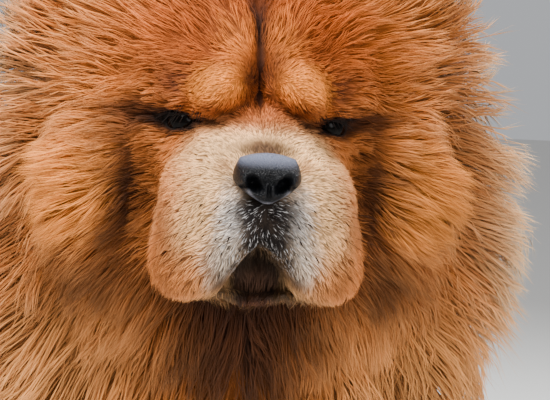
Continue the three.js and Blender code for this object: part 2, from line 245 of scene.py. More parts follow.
def read_mesh(mesh):
    """The corners, triangles and edges of a mesh as arrays."""
    mesh.calc_loop_triangles()
    places = np.empty(len(mesh.vertices) * 3, np.float32)
    mesh.vertices.foreach_get("co", places)
    triangles = np.empty(len(mesh.loop_triangles) * 3, np.int32)
    mesh.loop_triangles.foreach_get("vertices", triangles)
    edges = np.empty(len(mesh.edges) * 2, np.int32)
    mesh.edges.foreach_get("vertices", edges)
    return places.reshape(-1, 3).astype(float), triangles.reshape(-1, 3), edges.reshape(-1, 2)


def fill(data, name, values):
    """Sets a value all over a mesh from an array."""
    data.foreach_set(name, values.astype(np.float32).ravel())


def normals_of(places, triangles):
    a, b, c = (places[triangles[:, k]] for k in range(3))
    across = np.cross(b - a, c - a)
    total = np.zeros_like(places)
    for k in range(3):
        for axis in range(3):
            total[:, axis] += np.bincount(triangles[:, k], across[:, axis], len(places))
    return total / np.maximum(np.linalg.norm(total, axis=1), 1e-12)[:, None]


def relaxed(values, edges, times):
    """Each corner's value, drawn halfway to its neighbours' mean so many times."""
    count = np.bincount(edges.ravel(), minlength=len(values)).astype(float)
    for _ in range(times):
        total = np.zeros_like(values)
        for axis in range(values.shape[1]):
            total[:, axis] = np.bincount(edges[:, 0], values[edges[:, 1], axis], len(values))
            total[:, axis] += np.bincount(edges[:, 1], values[edges[:, 0], axis], len(values))
        values = (values + total / count[:, None]) / 2
    return values


DRAWING_IN_STEPS = 5
melt_together(skin, MELTED_FACE)
places, triangles, edges = read_mesh(skin.data)
places = relaxed(places, edges, 6)
_, length, _, rise, _ = groom(places)
depth = (length * np.sin(rise) * COAT_PRESS)[:, None]
for _ in range(DRAWING_IN_STEPS):
    inward = relaxed(normals_of(places, triangles), edges, 4)
    places = relaxed(places - inward * depth / DRAWING_IN_STEPS, edges, 1)
fill(skin.data.vertices, "co", places)
melt_together(skin, EVENED_FACE)
places, triangles, edges = read_mesh(skin.data)
fill(skin.data.vertices, "co", relaxed(places, edges, 3))

# The face gets a finer mesh than the body, and the eyes and mouth a finer one still.
FACE_HALF_WIDTH, FACE_DEPTH, FACE_BOTTOM = 0.10, 0.125, 0.44
MOUTH_HALF_WIDTH, MOUTH_DEPTH, MOUTH_HEIGHTS = 0.036, 0.042, (0.453, 0.521)
EYE_REGION = 0.024  # m from the middle of an eye


def on_face(place):
    back = place.y - nose_tip.y
    return back < FACE_DEPTH and place.z > FACE_BOTTOM and abs(place.x) < FACE_HALF_WIDTH


def by_eye_or_mouth(place):
    in_height = MOUTH_HEIGHTS[0] < place.z < MOUTH_HEIGHTS[1]
    at_front = place.y - nose_tip.y < MOUTH_DEPTH
    by_mouth = in_height and at_front and abs(place.x) < MOUTH_HALF_WIDTH
    return by_mouth or min((place - middle).length for middle, _ in eye_balls.values()) < EYE_REGION


finer = bmesh.new()
finer.from_mesh(skin.data)
for finest in (False, True):
    chosen = {}
    for face in finer.faces:
        middle = face.calc_center_median()
        if on_face(middle) and (by_eye_or_mouth(middle) or not finest):
            chosen.update(dict.fromkeys(face.edges))
    bmesh.ops.subdivide_edges(finer, edges=list(chosen), cuts=1, use_grid_fill=True)
bmesh.ops.triangulate(finer, faces=[face for face in finer.faces if len(face.verts) > 4])
finer.to_mesh(skin.data)
finer.free()
places, triangles, edges = read_mesh(skin.data)
places = relaxed(places, edges, 2)

# Swellings and hollows of the face: where, how wide in mm, and which way the flesh moves in mm.
FLESH_FORMS = [
    # the brow pads, the crease under each, the hollow over the eye and the furrow between them
    ((21, 70, 587), (15, 22, 18), (1.5, -11, 0)),
    ((29, 72, 577), (11, 18, 10), (2, -11, -2)),
    ((52, 84, 575), (14, 18, 6), (0, -6, -2)),
    ((8, 60, 574), (8, 16, 4), (0, 8, 0)),
    ((19, 63, 568), (9, 16, 4), (0, 10, 0)),
    ((32, 69, 562), (9, 16, 4), (0, 9, 0)),
    ((41, 74, 573), (5, 16, 8), (0, 5, 0)),
    ((0, 75, 586), (3.6, 24, 20), (0, 11, 0)),
    ((0, 92, 620), (3.4, 30, 34), (0, 8, -1)),
    ((30, 96, 626), (16, 30, 26), (0, -4, 1)),
    # the upper lips hang full at the corners, and the muzzle narrows to its bridge
    ((36, 22, 480), (20, 24, 18), (3, -4, -3)),
    ((42, 38, 470), (16, 34, 16), (2, -1, -5)),
    ((58, 46, 476), (16, 34, 17), (6, -1, -2)),
    ((64, 50, 515), (10, 34, 26), (-3, 0, 0)),
    ((52, 46, 552), (15, 34, 14), (-5, 2, -4)),
    ((0, 6, 508), (2.6, 16, 16), (0, 4, 0)),
    # the cheeks stand out behind a valley
    ((70, 92, 508), (10, 25, 45), (0, 9, 0)),
    ((100, 100, 520), (28, 30, 34), (3, -9, 0)),
    ((66, 94, 562), (24, 24, 6), (0, 6, 0)),
    ((92, 104, 476), (36, 30, 12), (0, 4, 0)),
    ((52, 80, 586), (16, 24, 12), (0, -4, -1)),
]
# the toes of each foot, in mm: how far they start behind the nose, with the inner two ahead
TOE_BACKS = (215, 561)
INNER_TOE_LEAD = 9
LEG_MIDDLE, TOE_SPACING = 86, 22
for back in TOE_BACKS:
    for k in (-1.5, -0.5, 0.5, 1.5):
        toe = (LEG_MIDDLE + TOE_SPACING * k, back - (INNER_TOE_LEAD if abs(k) < 1 else 0), 17)
        FLESH_FORMS.append((toe, (8.5, 20, 16), (0, -10, 1)))


def fold():
    """What turns the dog's right side on to its left, and back."""
    return np.sign(places[:, :1]) * (1, 0, 0) + (0, 1, 1)


folded = places * fold()
for middle, radii, push in FLESH_FORMS:
    scaled = (folded - head_place(*middle)) * 1000 / np.array(radii)
    share = np.exp(-(scaled**2).sum(axis=1))[:, None]
    places = places + share * (np.array(push) / 1000 * fold())

# The mouth: an upturned V under the nose, with the chin set back behind the lips.
LIP_TOP, LIP_BOTTOM = 0.505, 0.461
LIP_SPREAD = 0.030  # half the gap between the lips, at the bottom
LIP_EDGE = 0.0045  # how gently the lips turn in
CHIN_SETBACK = 0.015
CHIN_DEPTH, CHIN_FADE = 0.050, 0.010  # how far back from the nose the chin is moved
half_gap = LIP_SPREAD * (LIP_TOP - places[:, 2]) / (LIP_TOP - LIP_BOTTOM)
inside = np.clip((half_gap - abs(places[:, 0])) / LIP_EDGE, 0, 1)
inside *= np.clip((nose_tip.y + CHIN_DEPTH - places[:, 1]) / CHIN_FADE, 0, 1)
places[:, 1] += CHIN_SETBACK * inside * inside * (3 - 2 * inside)

# The lids: the skin round each eye is wrapped over the ball and opened in an almond.
EYE_OPENING = (0.0125, 0.0032)  # half length and half height of the almond, m
ALMOND_POINT = 0.5  # how fast the almond closes towards its corners
EYE_ALONG, EYE_UP = (0.985, 0.10, -0.14), (0.12, -0.08, 0.99)  # on the dog's left side
LID_THICKNESS = 0.0012
LID_REACH, LID_BACK = 0.034, 0.004  # m from the eye's middle, all round and towards the back
LID_END, LID_FADE = 2.3, 1.2  # in almonds from the middle
SINKING = 0.0035  # m, how far the skin in the opening lies behind the ball's front
BARE = 1.2  # in almonds, no hair grows nearer
bare = np.zeros(len(places), bool)
for side, (middle, radius) in zip((1, -1), eye_balls.values()):
    centre = np.array(middle)
    along = np.array(EYE_ALONG) * (side, 1, 1)
    along /= np.linalg.norm(along)
    up = np.array(EYE_UP) * (side, 1, 1)
    up -= along * up.dot(along)
    up /= np.linalg.norm(up)
    offset = places - centre
    near = (np.linalg.norm(offset, axis=1) < LID_REACH) & (offset[:, 1] < LID_BACK)
    u = offset[near] @ along / EYE_OPENING[0]
    v = offset[near] @ up / EYE_OPENING[1]
    almond = np.sqrt(u**2 + v**2 * (1 + ALMOND_POINT * u**2))
    distance = np.linalg.norm(offset[near], axis=1)
    toward = offset[near] / distance[:, None]
    lid = np.clip((LID_END - almond) / LID_FADE, 0, 1)
    lid = lid * lid * (3 - 2 * lid)
    sunk = radius - SINKING * np.clip((1 - almond) * 4, 0, 1)
    target = np.where(almond < 1, sunk, radius + LID_THICKNESS)
    moved = distance * (1 - lid) + target * lid
    places[near] = centre + toward * moved[:, None]
    bare[np.flatnonzero(near)[almond < BARE]] = True
fill(skin.data.vertices, "co", places)
skin.data.update()
skin.data.shade_smooth()
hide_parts(*flesh)
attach(skin, "root")


# The colours of the coat, which the skin carries too: red-brown all over, pale on the muzzle, the
# rims of the ruff, the breeches and the plume, with painted shade dark in the hollows and creases of
# the face and under the jaw.
def from_screen(red, green, blue):
    """A colour read off a screen, 0 to 255, as linear light."""
    shares = (red / 255, green / 255, blue / 255)
    linear = [c / 12.92 if c < 0.04045 else ((c + 0.055) / 1.055) ** 2.4 for c in shares]
    return (*linear, 1.0)


BASE_COAT = (198, 112, 44)
SUNNED_COAT, SUNNED_SHARE = (228, 174, 118), 0.34  # of the tips of all the hair
# Each marking or patch of painted shade: its middle and three radii in mm, colour, strength and
# softness.
MARKINGS_AND_PAINTED_SHADE = [
    # the back, the belly, the plume and breeches, and the legs
    ((0, 450, 520), (120, 330, 60), (170, 88, 32), 0.7, 0.9),
    ((0, 480, 230), (140, 330, 80), (232, 176, 116), 0.7, 0.9),
    ((0, 650, 580), (120, 120, 90), (246, 200, 146), 0.85, 0.7),
    ((0, 500, 570), (120, 110, 50), (246, 200, 146), 0.85, 0.7),
    ((0, 700, 330), (130, 60, 150), (244, 194, 138), 0.8, 0.8),
    ((84, 300, 120), (90, 120, 130), (208, 128, 62), 0.7, 0.8),
    ((84, 640, 120), (90, 120, 130), (208, 128, 62), 0.7, 0.8),
    # the head, the rim of the ruff and the pale locks of the bib
    ((0, 120, 590), (84, 80, 80), (166, 76, 20), 0.95, 0.6),
    ((176, 220, 560), (60, 165, 180), (248, 204, 148), 0.92, 0.95),
    ((104, 168, 412), (70, 80, 60), (212, 148, 86), 0.75, 0.9),
    ((98, 108, 520), (30, 60, 34), (228, 140, 60), 0.92, 0.7),
    # painted shade in the hollows: beside the muzzle, under the cheeks, the lips and the jaw, and
    # over the cheeks
    ((67, 95, 515), (16, 50, 54), (44, 19, 7), 0.94, 0.7),
    ((84, 112, 472), (46, 60, 22), (40, 18, 8), 0.87, 0.95),
    ((0, 112, 462), (76, 46, 34), (36, 16, 7), 0.92, 0.8),
    ((0, 120, 425), (58, 60, 48), (50, 23, 10), 0.92, 0.8),
    ((68, 95, 563), (32, 40, 12), (46, 20, 8), 0.9, 0.8),
    # painted shade down the furrow, then the brow pads and the muzzle
    ((0, 95, 624), (7, 44, 44), (38, 16, 6), 0.97, 0.8),
    ((13, 84, 606), (13, 30, 22), (204, 110, 36), 0.85, 0.8),
    ((26, 70, 582), (20, 28, 17), (226, 132, 48), 0.95, 0.5),
    ((0, 45, 510), (72, 60, 68), (255, 202, 142), 0.97, 0.3),
    ((58, 50, 540), (22, 50, 44), (208, 122, 58), 0.85, 0.9),
    ((0, 62, 568), (46, 30, 16), (186, 94, 40), 0.9, 0.9),
    ((63, 50, 500), (24, 50, 64), (204, 112, 48), 0.95, 0.9),
    ((44, 30, 478), (34, 44, 24), (204, 120, 58), 0.85, 0.9),
    # painted shade in the bottom of the furrow, in the hollow over each eye and along the crease
    # under each brow pad
    ((0, 78, 584), (4.5, 30, 22), (34, 15, 7), 0.96, 0.8),
    ((50, 84, 583), (13, 30, 13), (84, 38, 14), 0.85, 0.9),
    ((5, 72, 588), (9, 24, 16), (96, 44, 16), 0.7, 0.9),
    ((24, 64, 572), (15, 20, 5), (110, 52, 20), 0.8, 0.9),
    ((3, 60, 577), (6, 20, 4.5), (60, 26, 10), 0.92, 0.8),
    ((10, 60, 573), (7, 20, 4.5), (56, 24, 9), 0.94, 0.8),
    ((18, 62, 568.5), (8, 20, 4.8), (46, 20, 8), 0.95, 0.8),
    ((28, 66, 563), (9, 20, 5.5), (34, 15, 7), 0.95, 0.8),
    ((38, 74, 561), (10, 20, 5), (20, 10, 6), 0.96, 0.7),
    # grey hair beside the mouth, black under the nose and round the lips
    ((0, 34, 548), (19, 14, 9), (62, 36, 24), 0.92, 0.7),
    ((23, 20, 541), (6, 12, 6), (150, 84, 44), 0.75, 0.8),
    ((18, 12, 512), (12, 24, 24), (222, 214, 208), 0.9, 0.8),
    ((23, 16, 488), (12, 24, 20), (208, 194, 178), 0.8, 0.8),
    ((0, 12, 508), (18, 30, 28), (22, 20, 23), 0.97, 0.5),
    ((10, 8, 518), (12, 24, 9), (26, 24, 27), 0.9, 0.8),
    ((0, 24, 499), (9, 30, 11), (20, 12, 9), 0.96, 0.6),
    # black lips, and painted shade in the gap of the mouth where the chin is set back
    ((0, 40, 474), (22, 50, 27), (24, 13, 9), 0.98, 0.4),
    ((0, 50, 474), (13, 40, 9), (92, 62, 46), 0.7, 0.8),
    ((22, 34, 460), (21, 46, 10), (34, 18, 11), 0.95, 0.6),
    ((9, 15, 497), (7, 18, 9), (34, 27, 26), 0.85, 0.8),
    ((15, 18, 487), (7, 18, 9), (34, 25, 23), 0.85, 0.8),
    ((21, 22, 475), (8, 20, 10), (34, 22, 18), 0.85, 0.8),
    ((0, 60, 456), (16, 40, 8), (96, 50, 30), 0.8, 0.8),
    # the dark lids, and the ears
    ((47, 88, 560), (18, 24, 8.5), (8, 5, 4), 0.98, 0.4),
    ((106, 172, 690), (30, 30, 30), (150, 74, 28), 0.6, 0.8),
]


DRIFT = 0.007  # m, how far the edges of the markings wander
WHITE_HAIR, BLACK_HAIR = (190, 188, 188), (30, 24, 22)
PALE_TIPS = (255, 224, 178)


def feed(target, value):
    """Gives an input a fixed value, or what another node puts out."""
    if isinstance(value, bpy.types.NodeSocket):
        target.id_data.links.new(value, target)
    else:
        target.default_value = value


def math_node(tree, operation, *values, kind="Math", result="Value"):
    node = tree.nodes.new("ShaderNode" + kind)
    node.operation = operation
    for target, value in zip(node.inputs, values):
        feed(target, value)
    return node.outputs[result]


def vector_node(tree, operation, *values):
    result = "Value" if operation == "LENGTH" else "Vector"
    return math_node(tree, operation, *values, kind="VectorMath", result=result)


def mix_colour(tree, share, a, b):
    """Mixes two colours, each read off a screen or put out by another node."""
    node = tree.nodes.new("ShaderNodeMix")
    node.data_type = "RGBA"
    feed(node.inputs[0], share)
    # the inputs between, and the first two outputs, are for numbers and vectors
    for index, colour in ((6, a), (7, b)):
        colour = from_screen(*colour) if isinstance(colour, tuple) else colour
        feed(node.inputs[index], colour)
    return node.outputs[2]


def ramp_between(tree, value, low, high, to_low=0.0, to_high=1.0):
    node = tree.nodes.new("ShaderNodeMapRange")
    node.interpolation_type = "SMOOTHSTEP"
    for target, given in zip(node.inputs, (value, low, high, to_low, to_high)):
        feed(target, given)
    return node.outputs["Result"]


def noise(tree, place, scale, detail=2.0):
    node = tree.nodes.new("ShaderNodeTexNoise")
    for name, value in (("Vector", place), ("Scale", scale), ("Detail", detail)):
        feed(node.inputs[name], value)
    return node.outputs


tree = markings_and_shade = bpy.data.node_groups.new("chow_markings", "ShaderNodeTree")
tree.interface.new_socket(name="Place", in_out="INPUT", socket_type="NodeSocketVector")
for name in ("Along", "Chance", "Grizzle"):
    usual = tree.interface.new_socket(name=name, in_out="INPUT", socket_type="NodeSocketFloat")
    usual.default_value = 0.5
tree.interface.new_socket(name="Colour", in_out="OUTPUT", socket_type="NodeSocketColor")
given = tree.nodes.new("NodeGroupInput").outputs
drift = noise(tree, given["Place"], 22.0)["Color"]
wander = vector_node(tree, "SUBTRACT", drift, (0.5, 0.5, 0.5))
wander = vector_node(tree, "MULTIPLY", wander, (DRIFT, DRIFT, DRIFT))
wandered = vector_node(tree, "ADD", given["Place"], wander)
apart = vector_node(tree, "ABSOLUTE", wandered)
across = vector_node(tree, "MULTIPLY", apart, (1.0, 0.0, 0.0))
rest = vector_node(tree, "MULTIPLY", wandered, (0.0, 1.0, 1.0))
folded = vector_node(tree, "ADD", across, rest)


def zone(middle, radii, inner, outer, most):
    """How far a place belongs to an oval zone: most inside, nothing outside."""
    offset = vector_node(markings_and_shade, "SUBTRACT", folded, head_place(*middle))
    scaled = vector_node(markings_and_shade, "DIVIDE", offset, tuple(r / 1000 for r in radii))
    far = vector_node(markings_and_shade, "LENGTH", scaled)
    return ramp_between(markings_and_shade, far, inner, outer, most, 0.0)


tips = ramp_between(tree, given["Along"], 0.35, 1.0)
sunned = math_node(tree, "MULTIPLY", tips, SUNNED_SHARE)
colour = mix_colour(tree, sunned, BASE_COAT, SUNNED_COAT)
for middle, radii, tint, strength, softness in MARKINGS_AND_PAINTED_SHADE:
    share = zone(middle, radii, 1 - softness, 1 + softness * 0.35, strength)
    colour = mix_colour(tree, share, colour, tint)
# Salt and pepper round the mouth: some hairs are white among the black, some black among the grey.
by_mouth = zone((0, 14, 507), (36, 40, 38), 0.55, 1.1, 1.0)
for low, high, tint in ((0.72, 0.84, WHITE_HAIR), (0.34, 0.22, BLACK_HAIR)):
    some = ramp_between(tree, given["Grizzle"], low, high, 0.0, 0.85)
    some = math_node(tree, "MULTIPLY", some, by_mouth)
    colour = mix_colour(tree, some, colour, tint)
# The hair of the ruff is palest at its tips.
on_ruff = zone((160, 210, 560), (66, 160, 180), 0.1, 1.1, 0.8)
on_ruff = math_node(tree, "MULTIPLY", on_ruff, tips)
colour = mix_colour(tree, on_ruff, colour, PALE_TIPS)
# Streaks: the coat is patchy and each tuft differs a little. Painted shade darkens the roots, deep
# in the coat, and painted light brightens the tips.
patches = noise(tree, given["Place"], 38.0, 3.0)["Fac"]
patchy = ramp_between(tree, patches, 0.3, 0.7, 0.74, 1.22)
chancy = math_node(tree, "MULTIPLY_ADD", given["Chance"], 0.50, 0.75)
painted_root_shade = ramp_between(tree, given["Along"], 0.0, 0.75, 0.46, 1.14)
bright = math_node(tree, "MULTIPLY", patchy, chancy)
bright = math_node(tree, "MULTIPLY", bright, painted_root_shade)
scaled = vector_node(tree, "SCALE", colour)
feed(scaled.node.inputs["Scale"], bright)
feed(tree.nodes.new("NodeGroupOutput").inputs["Colour"], scaled)


def new_material(name, roughness, specular):
    material = bpy.data.materials.new(name)
    material.use_nodes = True
    tree = material.node_tree
    shader = tree.nodes["Principled BSDF"]
    shader.inputs["Roughness"].default_value = roughness
    shader.inputs["Specular IOR Level"].default_value = specular
    return material, tree, shader


def object_place(tree):
    return tree.nodes.new("ShaderNodeTexCoord").outputs["Object"]


def attribute(tree, name):
    node = tree.nodes.new("ShaderNodeAttribute")
    node.attribute_name = name
    return node.outputs


def coat_colour_and_shade(tree, shader, place):
    """Puts the coat's colour, its marks and its painted shade on a material. The inputs it gives
    back say where on a hair it is.
    """
    node = tree.nodes.new("ShaderNodeGroup")
    node.node_tree = markings_and_shade
    feed(node.inputs["Place"], place)
    feed(shader.inputs["Base Color"], node.outputs["Colour"])
    return node.inputs


def raise_surface(tree, shader, height, strength, distance):
    bump = tree.nodes.new("ShaderNodeBump")
    bump.inputs["Strength"].default_value = strength
    bump.inputs["Distance"].default_value = distance
    feed(bump.inputs["Height"], height)
    feed(shader.inputs["Normal"], bump.outputs["Normal"])
    return bump


skin_material, tree, shader = new_material("skin_under_coat", 0.8, 0.2)
place = object_place(tree)
# The skin takes the dark colour of the roots: painted shade of the gaps deep in the coat.
coat_colour_and_shade(tree, shader, place)["Along"].default_value = 0.16
raise_surface(tree, shader, noise(tree, place, 900.0, 3.0)["Fac"], 0.5, 0.001)
skin.data.materials.append(skin_material)


# The coat: tufts of hair rooted in the skin, one piece for each part of the body. A tuft is a thin
# three-sided blade that leaves the skin at an angle, bends over and ends in three fine points.
coat_material, tree, shader = new_material("hair_tufts", 0.66, 0.16)
strand = tree.nodes.new("ShaderNodeSeparateXYZ")
feed(strand.inputs["Vector"], attribute(tree, "strand")["Vector"])
on_hair = coat_colour_and_shade(tree, shader, attribute(tree, "root_place")["Vector"])
for part, name in (("X", "Along"), ("Y", "Chance"), ("Z", "Grizzle")):
    feed(on_hair[name], strand.outputs[part])

# Each coat: the parts of the body it covers, its tufts, the bends of each, how far a tuft is
# drawn to the middle of its lock, and how much its lie is left to chance.
COATS = {
    "coat_muzzle": (("muzzle", "lower_jaw"), 18400, 2, (0.1, 0.5), 0.05),
    "coat_face": (("head",), 22000, 3, (0.2, 0.75), 0.05),
    "coat_ears": (("ear_l", "ear_r"), 1500, 2, (0.1, 0.5), 0.08),
    "coat_ruff": (("neck",), 8600, 3, (0.2, 0.65), 0.07),
    "coat_bib": (("chest", "shoulder_l", "shoulder_r"), 7400, 3, (0.2, 0.7), 0.07),
    "coat_trunk": (("trunk",), 5600, 2, (0.15, 0.5), 0.08),
    "coat_rump": (("rump", "thigh_l", "thigh_r"), 6000, 2, (0.15, 0.5), 0.08),
    "coat_legs": (("foreleg_l", "foreleg_r", "hindleg_l", "hindleg_r"), 4600, 2, (0.15, 0.5), 0.08),
    "coat_feet": (("forepaw_l", "forepaw_r", "hindpaw_l", "hindpaw_r"), 2400, 2, (0.1, 0.4), 0.08),
    "coat_tail": (("tail_root", "tail_bend", "tail_end"), 3600, 3, (0.2, 0.6), 0.08),
}
SOLE_HEIGHT = 0.004  # m, no hair is rooted lower
NOSE_ROOTS = 0.95  # nor within this share of the nose leather's size
places, triangles, edges = read_mesh(skin.data)
skin_normals = relaxed(normals_of(places, triangles), edges, 3)
centres = places[triangles].mean(axis=1)
nose_middle = (nose_low + nose_high) / 2
nose_half = [(high - low) / 2 for low, high in zip(nose_low, nose_high)]
in_nose = np.linalg.norm((centres - np.array(nose_middle)) / nose_half, axis=1)
grows_hair = ~bare[triangles].any(axis=1) & (centres[:, 2] > SOLE_HEIGHT) & (in_nose > NOSE_ROOTS)


def finder_of(points):
    """A search tree that gives the nearest of these points."""
    finder = kdtree.KDTree(len(points))
    for index, point in enumerate(points):
        finder.insert(point, index)
    finder.balance()
    return finder


# Each face of the skin belongs to the part of the body whose solid is nearest.
solid_corners, solid_names = [], []
for node in (node for nodes, *_ in COATS.values() for node in nodes):
    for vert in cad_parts[node].data.vertices:
        solid_corners.append(vert.co)
        solid_names.append(node)
solids = finder_of(solid_corners)
owner = np.array([solid_names[solids.find(Vector(centre))[1]] for centre in centres])

UNWRAP_ANGLE, UNWRAP_MARGIN = 1.15, 0.004


def unwrapped(region, name):
    """Where each corner of the region's triangles falls on an unwrap of the region."""
    used, local = np.unique(triangles[region], return_inverse=True)
    sheet = bpy.data.meshes.new(name)
    sheet.from_pydata(places[used].tolist(), [], local.reshape(-1, 3).tolist())
    piece = add_to_scene(name, sheet)
    bpy.context.view_layer.objects.active = piece
    piece.select_set(True)
    bpy.ops.object.mode_set(mode="EDIT")
    bpy.ops.mesh.select_all(action="SELECT")
    bpy.ops.uv.smart_project(
        angle_limit=UNWRAP_ANGLE, island_margin=UNWRAP_MARGIN, scale_to_bounds=True
    )
    bpy.ops.object.mode_set(mode="OBJECT")
    flat = np.empty(len(sheet.loops) * 2, np.float32)
    sheet.uv_layers.active.data.foreach_get("uv", flat)
    bpy.data.objects.remove(piece)
    bpy.data.meshes.remove(sheet)
    return flat.reshape(-1, 3, 2)


# What is left to chance in each tuft, as shares of the guides' length and width, and in radians.
LENGTHS, WIDTHS, RISE_SCATTER = (0.72, 1.12), (0.6, 1.05), 0.07
# Slow waves that turn the lie of the coat a little from place to place, in radians for each metre.
LIE_WAVES = [((160, 90, -120), 0.3), ((-70, 130, 150), 1.9), ((210, -250, 190), 4.1)]
LIE_WAVE_SHARE = 0.20
STRAY_SHARE = 0.05  # of the tufts are strays, fine single hairs that stand out of the coat
STRAY_FROM = 0.014  # m, shorter hair has no strays
STRAY_LENGTH, STRAY_WIDTH, STRAY_RISE, STRAY_TURN = 1.04, 0.5, 0.05, 0.17
STRAY_GATHERING, STRAY_BUNCHING = 0.2, 0.3
# A tuft is drawn to the middle of its lock, and a little to the middle of a bunch of locks. Their
# sizes are shares of the length, with the least and the most in m.
LOCK_SIZE, BUNCH_SIZE = (0.17, 0.0022, 0.012), (0.55, 0.006, 0.032)
FEWEST_LOCKS, FEWEST_TUFTS_IN_LOCK = 20, 4
BUNCHING = (0.1, 0.42)
GATHERING_CURVE, BUNCHING_CURVE = 1.3, 1.6
# The curve of a hair: how it rises and runs on, with t and t squared, and how far it sags.
RISING, RUNNING, SAG = (1.70, -0.80), (0.80, 0.20), -0.10
WAVE_TURNS = 3.4  # how far round its wave a hair goes from root to tip, in radians
WAVE_SHARE = 0.045  # half width of the wave, as a share of the length
WAVE_SCATTER = 0.3
# The blade: where its bends are, how thick it is there, and its three tips.
BLADES = {2: ((0.0, 0.5), (0.8, 1.0)), 3: ((0.0, 0.3, 0.62), (0.7, 1.0, 0.9))}
BLADE_THICKNESS = 0.6  # as a share of the width
TIP_REACH, TIP_SPLAY = (0.80, 1.06), (0.015, 0.065)
FLOOR_CLEARANCE = 0.0005  # m, no hair goes lower
COMBED_WIDTH = 0.196  # m from the middle, past which the ruff is combed closer
COMBING = 0.75
SOFTNESS = 0.45  # how far a tuft is shaded like the body under it, not like a single blade
OWN_SHADE, LOCK_SHADE, BUNCH_SHADE = 0.3, 0.4, 0.3  # what makes one tuft lighter than another
UNWRAP_PATCH = 0.003  # how much of the unwrap one tuft covers


